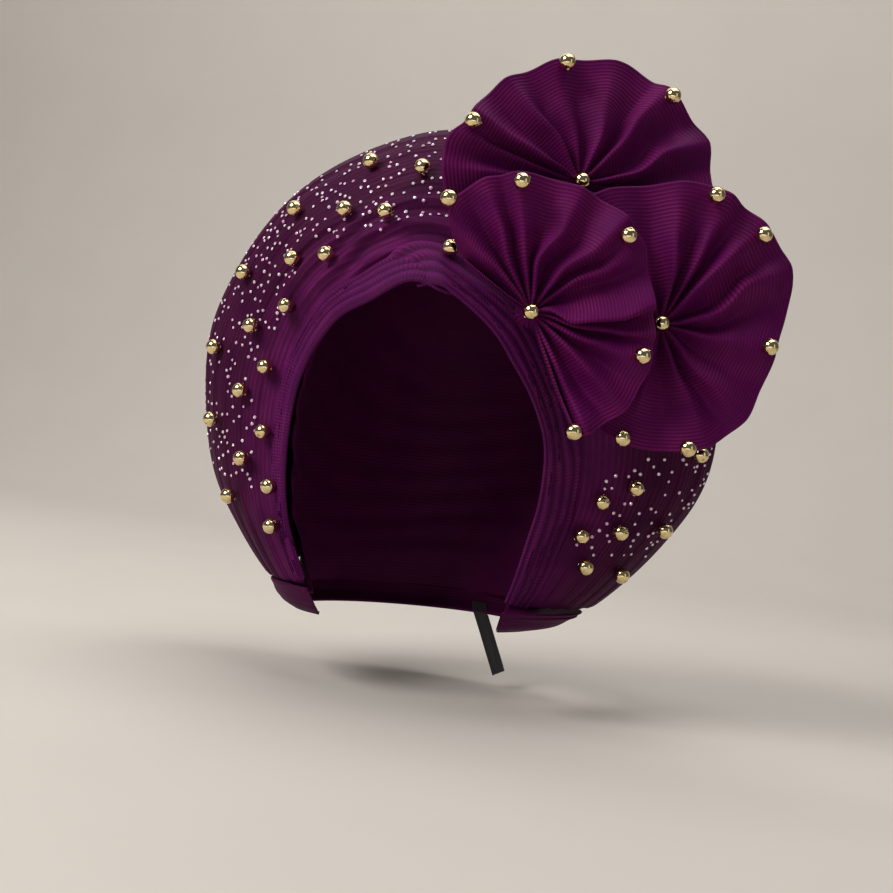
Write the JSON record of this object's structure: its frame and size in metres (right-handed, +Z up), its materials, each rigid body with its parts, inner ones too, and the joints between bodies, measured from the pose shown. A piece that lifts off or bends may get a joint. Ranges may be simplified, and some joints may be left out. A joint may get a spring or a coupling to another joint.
{
  "type": "tied gele head tie",
  "caption": "Ready-tied head wrap with a round pleated halo, crossed forehead bands, gathered fan rosettes and sewn gold beads; open below and in front for the head and face.",
  "frame": {"origin": "where the crown of the head meets the inside of the wrap", "axes": "+Z up, -Y the way the wearer looks, +X to the wearer's left, where the rosettes are"},
  "size_m": [0.3131, 0.1883, 0.3314],
  "materials": {
    "brim_cloth": "fine pleated ribbed brocade, deep plum",
    "band_cloth": "soft folded ribbed brocade, plum",
    "wrap_cloth": "smooth stretched brocade, dark plum",
    "rosette_cloth": "gathered ribbed brocade with a satin sheen",
    "gold_bead": "polished gold-plated round bead",
    "crystal": "small faceted foil-backed crystal",
    "black_tape": "matte black woven tape"
  },
  "bodies": {
    "root": {"head_wrap": "wrap_cloth", "halo_brim": "brim_cloth", "forehead_band_left": "band_cloth", "forehead_band_right": "band_cloth", "rosette_top": "rosette_cloth", "rosette_top_bead_0": "gold_bead", "rosette_top_bead_1": "gold_bead", "rosette_top_bead_2": "gold_bead", "rosette_top_bead_3": "gold_bead", "rosette_side": "rosette_cloth", "rosette_side_bead_0": "gold_bead", "rosette_side_bead_1": "gold_bead", "rosette_side_bead_2": "gold_bead", "rosette_side_bead_3": "gold_bead", "rosette_side_bead_4": "gold_bead", "rosette_side_bead_5": "gold_bead", "rosette_front": "rosette_cloth", "rosette_front_bead_0": "gold_bead", "rosette_front_bead_1": "gold_bead", "rosette_front_bead_2": "gold_bead", "rosette_front_bead_3": "gold_bead", "rosette_front_bead_4": "gold_bead", "rosette_front_bead_5": "gold_bead", "halo_bead_1": "gold_bead", "halo_bead_2": "gold_bead", "halo_bead_3": "gold_bead", "halo_bead_4": "gold_bead", "halo_bead_5": "gold_bead", "halo_bead_6": "gold_bead", "halo_bead_7": "gold_bead", "halo_bead_8": "gold_bead", "halo_bead_9": "gold_bead", "halo_bead_10": "gold_bead", "halo_bead_11": "gold_bead", "halo_bead_12": "gold_bead", "halo_bead_13": "gold_bead", "halo_bead_14": "gold_bead", "halo_bead_15": "gold_bead", "halo_bead_16": "gold_bead", "halo_bead_17": "gold_bead", "halo_bead_18": "gold_bead", "halo_bead_19": "gold_bead", "halo_bead_20": "gold_bead", "halo_bead_21": "gold_bead", "halo_bead_22": "gold_bead", "halo_bead_23": "gold_bead", "halo_bead_24": "gold_bead", "halo_bead_25": "gold_bead", "halo_bead_26": "gold_bead", "halo_bead_27": "gold_bead", "halo_bead_28": "gold_bead", "nape_tie": "black_tape"}
  },
  "joints": []
}
